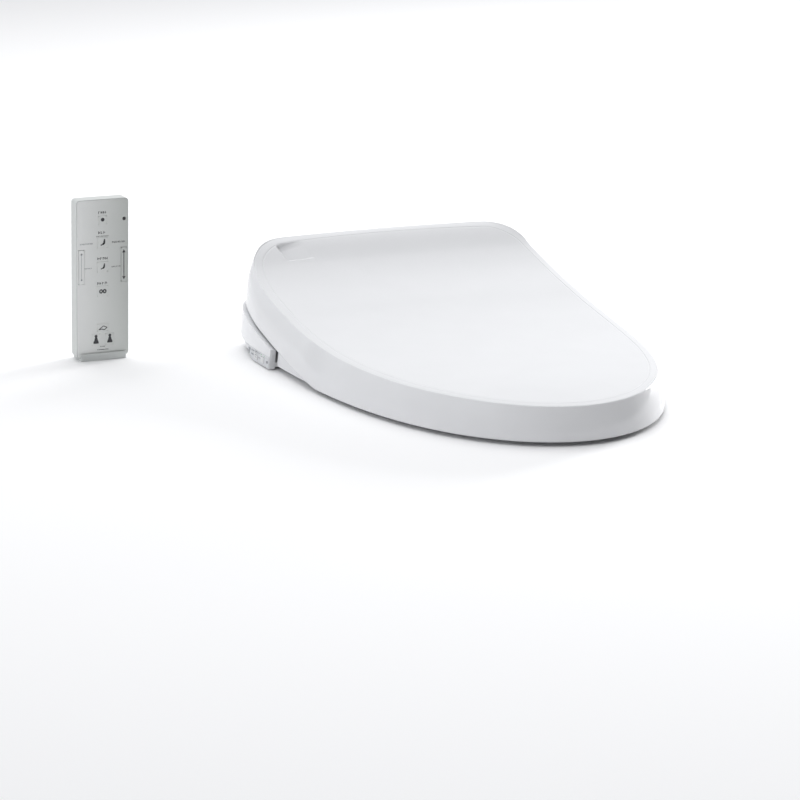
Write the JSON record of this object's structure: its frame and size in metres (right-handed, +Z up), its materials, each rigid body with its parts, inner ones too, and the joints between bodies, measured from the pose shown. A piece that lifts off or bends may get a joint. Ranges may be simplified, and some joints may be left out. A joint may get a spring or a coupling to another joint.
{
  "type": "electric bidet seat",
  "caption": "Elongated electric bidet seat with lid, heated ring, wash wand, dryer, deodorizer, base plate and a handset in its wall holder.",
  "frame": {"origin": "midway between the two mounting slots, on the underside of the base plate, which is the plane of the bowl's rim", "axes": "+Z up, -Y towards the front of the seat, +X to the left of a person sitting on it"},
  "size_m": [0.5682, 0.543, 0.1793],
  "materials": {
    "white_gloss": "gloss",
    "white_satin": "satin",
    "label_grey": "satin",
    "inner_plastic": "satin",
    "dark_plastic": "satin",
    "dark_lens": "gloss",
    "rubber_grey": "matte",
    "steel": "brushed",
    "brass_part": "satin",
    "board_green": "satin",
    "foil": "satin",
    "silver_face": "brushed",
    "remote_grey": "satin",
    "battery_skin": "satin",
    "filter_carbon": "satin"
  },
  "bodies": {
    "base": {"base_plate": "white_satin", "remote_holder": "remote_grey"},
    "unit": {"unit_feet": "rubber_grey", "unit_base": "white_satin", "unit_cover": "white_gloss", "front_bezel": "white_satin", "side_cover_right": "white_gloss", "side_cover_left": "white_gloss", "side_label": "label_grey", "hinge_shafts": "steel", "hinge_dampers": "dark_plastic", "inlet_valve": "inner_plastic", "drain_plug": "white_satin", "cord_gland": "dark_plastic", "heater_tank": "inner_plastic", "water_pump": "dark_plastic", "vacuum_breaker": "inner_plastic", "water_hose": "rubber_grey", "wand_guide": "inner_plastic", "wand_motor": "steel", "dryer_housing": "inner_plastic", "dryer_heater": "foil", "deodorizer_housing": "inner_plastic", "control_board": "board_green", "power_module": "foil", "case_screws": "steel", "sensor_windows": "dark_lens"},
    "wand": {"wand": "white_gloss", "wand_tip": "white_gloss"},
    "wand_pinion": {"wand_pinion": "inner_plastic"},
    "wand_shutter": {"wand_shutter": "white_satin"},
    "dryer_rotor": {"dryer_rotor": "dark_plastic"},
    "dryer_flap": {"dryer_flap": "white_satin"},
    "deodorizer_rotor": {"deodorizer_rotor": "dark_plastic"},
    "deodorizer_filter": {"deodorizer_filter": "filter_carbon"},
    "release_button": {"release_button": "white_satin"},
    "side_button_power": {"side_button_power": "white_satin"},
    "side_button_wash": {"side_button_wash": "white_satin"},
    "seat": {"seat_top": "white_gloss", "seat_bottom": "white_gloss", "seat_heater": "foil", "seat_bumpers": "rubber_grey", "hinge_bushes": "inner_plastic"},
    "lid": {"lid_shell": "white_gloss", "lid_bumpers": "rubber_grey"},
    "remote": {"remote_face": "silver_face", "remote_case": "remote_grey", "remote_board": "board_green", "remote_batteries": "battery_skin", "remote_lens": "dark_lens"},
    "battery_cover": {"battery_cover": "remote_grey"},
    "remote_stop_button": {"remote_stop_button": "silver_face"},
    "remote_rear_button": {"remote_rear_button": "silver_face"},
    "remote_soft_button": {"remote_soft_button": "silver_face"},
    "remote_front_button": {"remote_front_button": "silver_face"},
    "remote_lid_button": {"remote_lid_button": "silver_face"},
    "remote_flush_button_large": {"remote_flush_button_large": "silver_face"},
    "remote_flush_button_small": {"remote_flush_button_small": "silver_face"},
    "remote_pressure_rocker": {"remote_pressure_rocker": "silver_face"},
    "remote_position_rocker": {"remote_position_rocker": "silver_face"}
  },
  "joints": [
    {"name": "unit_slide", "type": "slide", "parent": "base", "child": "unit", "axis": [0, -1, 0], "range_m": [0, 0.05]},
    {"name": "seat_hinge", "type": "hinge", "parent": "unit", "child": "seat", "pos_m": [0, 0.036, 0.088], "axis": [1, 0, 0], "range_deg": [-97, 0]},
    {"name": "lid_hinge", "type": "hinge", "parent": "seat", "child": "lid", "pos_m": [0, 0.036, 0.088], "axis": [-1, 0, 0], "range_deg": [0, 103]},
    {"name": "wand_slide", "type": "slide", "parent": "unit", "child": "wand", "axis": [0, -0.866, -0.5], "range_m": [0, 0.09]},
    {"name": "wand_pinion_spin", "type": "hinge", "parent": "unit", "child": "wand_pinion", "pos_m": [0, -0.05649, 0.03843], "axis": [1, 0, 0], "range_deg": [-860, 0]},
    {"name": "wand_shutter_swing", "type": "hinge", "parent": "unit", "child": "wand_shutter", "pos_m": [0, -0.09, 0.025], "axis": [-1, 0, 0], "range_deg": [0, 80]},
    {"name": "dryer_fan_spin", "type": "hinge", "parent": "unit", "child": "dryer_rotor", "pos_m": [-0.08, 0.005, 0.047], "axis": [1, 0, 0], "continuous": true},
    {"name": "dryer_flap_swing", "type": "hinge", "parent": "unit", "child": "dryer_flap", "pos_m": [-0.08, -0.09, 0.0335], "axis": [-1, 0, 0], "range_deg": [0, 30]},
    {"name": "deodorizer_fan_spin", "type": "hinge", "parent": "unit", "child": "deodorizer_rotor", "pos_m": [0.1, -0.021, 0.029], "axis": [1, 0, 0], "continuous": true},
    {"name": "deodorizer_filter_slide", "type": "slide", "parent": "unit", "child": "deodorizer_filter", "axis": [1, 0, 0], "range_m": [0, 0.06]},
    {"name": "release_button_press", "type": "slide", "parent": "unit", "child": "release_button", "axis": [1, 0, 0], "range_m": [0, 0.002], "stiffness_N_per_m": 500},
    {"name": "side_button_power_press", "type": "slide", "parent": "unit", "child": "side_button_power", "axis": [1, 0, 0], "range_m": [0, 0.0008], "stiffness_N_per_m": 500},
    {"name": "side_button_wash_press", "type": "slide", "parent": "unit", "child": "side_button_wash", "axis": [1, 0, 0], "range_m": [0, 0.0008], "stiffness_N_per_m": 500},
    {"name": "remote_lift", "type": "slide", "parent": "base", "child": "remote", "axis": [0, 0, 1], "range_m": [0, 0.04]},
    {"name": "battery_cover_slide", "type": "slide", "parent": "remote", "child": "battery_cover", "axis": [0, 0, -1], "range_m": [0, 0.012]},
    {"name": "remote_stop_button_press", "type": "slide", "parent": "remote", "child": "remote_stop_button", "axis": [0, 1, 0], "range_m": [0, 0.0008], "stiffness_N_per_m": 400},
    {"name": "remote_rear_button_press", "type": "slide", "parent": "remote", "child": "remote_rear_button", "axis": [0, 1, 0], "range_m": [0, 0.0008], "stiffness_N_per_m": 400},
    {"name": "remote_soft_button_press", "type": "slide", "parent": "remote", "child": "remote_soft_button", "axis": [0, 1, 0], "range_m": [0, 0.0008], "stiffness_N_per_m": 400},
    {"name": "remote_front_button_press", "type": "slide", "parent": "remote", "child": "remote_front_button", "axis": [0, 1, 0], "range_m": [0, 0.0008], "stiffness_N_per_m": 400},
    {"name": "remote_lid_button_press", "type": "slide", "parent": "remote", "child": "remote_lid_button", "axis": [0, 1, 0], "range_m": [0, 0.0008], "stiffness_N_per_m": 400},
    {"name": "remote_flush_button_large_press", "type": "slide", "parent": "remote", "child": "remote_flush_button_large", "axis": [0, 1, 0], "range_m": [0, 0.0008], "stiffness_N_per_m": 400},
    {"name": "remote_flush_button_small_press", "type": "slide", "parent": "remote", "child": "remote_flush_button_small", "axis": [0, 1, 0], "range_m": [0, 0.0008], "stiffness_N_per_m": 400},
    {"name": "remote_pressure_rocker_tilt", "type": "hinge", "parent": "remote", "child": "remote_pressure_rocker", "pos_m": [-0.3695, 0.02185, 0.1053], "axis": [1, 0, 0], "range_deg": [-2.5, 2.5], "stiffness_Nm_per_rad": 0.2},
    {"name": "remote_position_rocker_tilt", "type": "hinge", "parent": "remote", "child": "remote_position_rocker", "pos_m": [-0.3205, 0.02185, 0.1053], "axis": [1, 0, 0], "range_deg": [-2.5, 2.5], "stiffness_Nm_per_rad": 0.2}
  ],
  "couplings": [
    {"joint": "wand_pinion_spin", "follows": "wand_slide", "rad_per_m": -166.67},
    {"joint": "wand_shutter_swing", "follows": "wand_slide", "rad_per_m": 15.51}
  ]
}
